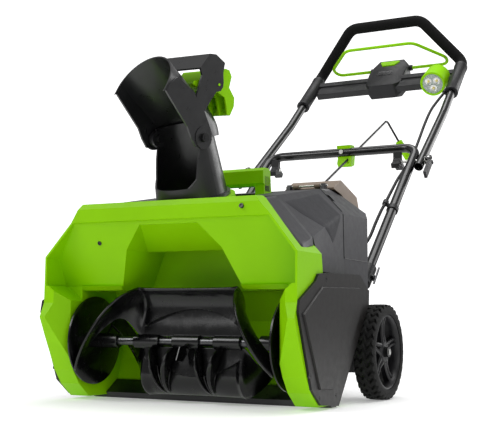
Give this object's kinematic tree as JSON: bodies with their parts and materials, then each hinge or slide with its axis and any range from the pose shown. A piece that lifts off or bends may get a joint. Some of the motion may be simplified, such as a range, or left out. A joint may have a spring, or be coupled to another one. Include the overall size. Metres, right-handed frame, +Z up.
{
  "type": "cordless snow thrower",
  "caption": "Walk-behind battery snow thrower with a wide auger hood, turning discharge chute, crank rod and folding tube handle.",
  "frame": {"origin": "on the ground, in the middle of the scraper bar's front bottom edge", "axes": "+X across the machine to its left seen from the front, +Y from the auger mouth back to the operator, +Z up"},
  "size_m": [0.578, 1.3247, 1.0075],
  "materials": {
    "hood_green": "lime green moulded plastic, satin gloss",
    "body_grey": "dark grey moulded plastic, fine grain",
    "cover_black": "near black moulded plastic, semi gloss",
    "lid_bronze": "grey brown moulded plastic",
    "gloss_black": "glossy black moulded plastic",
    "auger_rubber": "glossy black moulded rubber",
    "tyre": "black rubber tread",
    "rim": "black moulded plastic",
    "tube_black": "gloss black powder coat",
    "foam": "closed cell foam, matte",
    "control_black": "black moulded plastic, fine grain",
    "wire_black": "black coated wire",
    "cable_jacket": "black cable jacket",
    "steel": "zinc plated steel",
    "scraper": "black wear bar",
    "lens": "clear moulded lens",
    "reflector": "metallised reflector",
    "belt": "ribbed drive belt",
    "motor_metal": "black motor can",
    "motor_iron": "laminated iron",
    "heat_sink": "finned aluminium",
    "bearing": "bearing steel"
  },
  "bodies": {
    "root": {"auger_bearings": "bearing", "auger_housing": "hood_green", "axle": "steel", "axle_nuts": "steel", "battery_bay": "cover_black", "battery_pack": "cover_black", "cable_clip": "control_black", "cable_gland": "cable_jacket", "cam_knobs": "control_black", "carry_handle": "hood_green", "chassis_base": "cover_black", "crank_bracket": "hood_green", "drive_belt": "belt", "drive_side_cover": "cover_black", "front_cover": "body_grey", "handle_bolts": "steel", "handle_sockets": "control_black", "handle_wing_bolts": "steel", "idle_side_cover": "cover_black", "lid_hinge_pin": "steel", "lower_handle": "tube_black", "motor_controller": "heat_sink", "motor_housing": "motor_metal", "motor_stator": "motor_iron", "power_cable_lower": "cable_jacket", "rear_cover": "body_grey", "scraper_bar": "scraper", "side_cover_screws": "steel"},
    "auger": {"auger_shaft": "steel", "auger_paddle_upper": "auger_rubber", "auger_paddle_lower": "auger_rubber", "auger_pulley": "steel"},
    "motor": {"motor_rotor": "motor_iron", "motor_pulley": "steel"},
    "wheel_left": {"wheel_rim_left": "rim", "tyre_left": "tyre"},
    "wheel_right": {"wheel_rim_right": "rim", "tyre_right": "tyre"},
    "chute": {"chute_tube": "gloss_black", "chute_ring_gear": "gloss_black", "deflector_bolts": "steel"},
    "deflector": {"deflector": "gloss_black", "trigger_pin": "steel"},
    "trigger": {"deflector_trigger": "hood_green"},
    "crank_shaft": {"crank_pinion_shaft": "steel"},
    "crank": {"crank_rod": "wire_black", "crank_knob": "hood_green"},
    "upper_handle": {"upper_handle": "tube_black", "foam_grip": "foam", "control_box": "control_black", "headlamp_body": "hood_green", "headlamp_lens": "lens", "headlamp_reflector": "reflector", "power_cable_upper": "cable_jacket"},
    "cam_left": {"cam_lever_left": "control_black"},
    "cam_right": {"cam_lever_right": "control_black"},
    "bail": {"bail_lever": "hood_green"},
    "start_button": {"start_button": "hood_green"},
    "lid": {"battery_lid": "lid_bronze"}
  },
  "joints": [
    {"name": "auger_spin", "type": "hinge", "parent": "root", "child": "auger", "pos_m": [0, -0.06, 0.112], "axis": [1, 0, 0], "continuous": true},
    {"name": "motor_spin", "type": "hinge", "parent": "root", "child": "motor", "pos_m": [0, 0.11, 0.165], "axis": [1, 0, 0], "continuous": true},
    {"name": "wheel_left_spin", "type": "hinge", "parent": "root", "child": "wheel_left", "pos_m": [0.267, 0.218, 0.092], "axis": [1, 0, 0], "continuous": true},
    {"name": "wheel_right_spin", "type": "hinge", "parent": "root", "child": "wheel_right", "pos_m": [-0.267, 0.218, 0.092], "axis": [1, 0, 0], "continuous": true},
    {"name": "chute_rotate", "type": "hinge", "parent": "root", "child": "chute", "pos_m": [0, -0.051, 0.38], "axis": [0, -0.342, 0.9397], "range_deg": [-74, 106]},
    {"name": "crank_shaft_spin", "type": "hinge", "parent": "root", "child": "crank_shaft", "pos_m": [0, 0.03075, 0.36006], "axis": [-0.0511, 0.991, -0.1235], "range_deg": [-640, 640]},
    {"name": "crank_spin", "type": "hinge", "parent": "root", "child": "crank", "pos_m": [-0.01388, 0.3, 0.3265], "axis": [0.0682, 0.8618, 0.5027], "range_deg": [-640, 640]},
    {"name": "deflector_tilt", "type": "hinge", "parent": "chute", "child": "deflector", "pos_m": [-0.00331, -0.0998, 0.48036], "axis": [0.9613, -0.259, -0.0943], "range_deg": [-12, 40]},
    {"name": "trigger_squeeze", "type": "hinge", "parent": "deflector", "child": "trigger", "pos_m": [0.01348, -0.07384, 0.58023], "axis": [0.9613, -0.259, -0.0943], "range_deg": [0, 10], "stiffness_Nm_per_rad": 0.6, "springref_deg": -14.32},
    {"name": "handle_fold", "type": "hinge", "parent": "root", "child": "upper_handle", "pos_m": [0, 0.645, 0.531], "axis": [-1, 0, 0], "range_deg": [0, 105], "deforming": ["power_cable_upper"]},
    {"name": "cam_left_open", "type": "hinge", "parent": "root", "child": "cam_left", "pos_m": [0.241, 0.645, 0.531], "axis": [0, -0.6736, 0.7391], "range_deg": [0, 90]},
    {"name": "cam_right_open", "type": "hinge", "parent": "root", "child": "cam_right", "pos_m": [-0.241, 0.645, 0.531], "axis": [0, 0.6736, -0.7391], "range_deg": [0, 90]},
    {"name": "bail_squeeze", "type": "hinge", "parent": "upper_handle", "child": "bail", "pos_m": [0, 1.08, 0.873], "axis": [-1, 0, 0], "range_deg": [0, 12], "stiffness_Nm_per_rad": 0.4, "springref_deg": -68.75},
    {"name": "start_press", "type": "slide", "parent": "upper_handle", "child": "start_button", "axis": [0, 0.6331, -0.7741], "range_m": [0, 0.003], "stiffness_N_per_m": 300, "springref_m": -0.003},
    {"name": "battery_lid_open", "type": "hinge", "parent": "root", "child": "lid", "pos_m": [0.137, 0.168, 0.417], "axis": [1, 0, 0], "range_deg": [0, 95]}
  ],
  "couplings": [
    {"joint": "motor_spin", "follows": "auger_spin", "ratio": 3.1667},
    {"joint": "crank_shaft_spin", "follows": "chute_rotate", "ratio": -6},
    {"joint": "crank_spin", "follows": "chute_rotate", "ratio": -6}
  ]
}
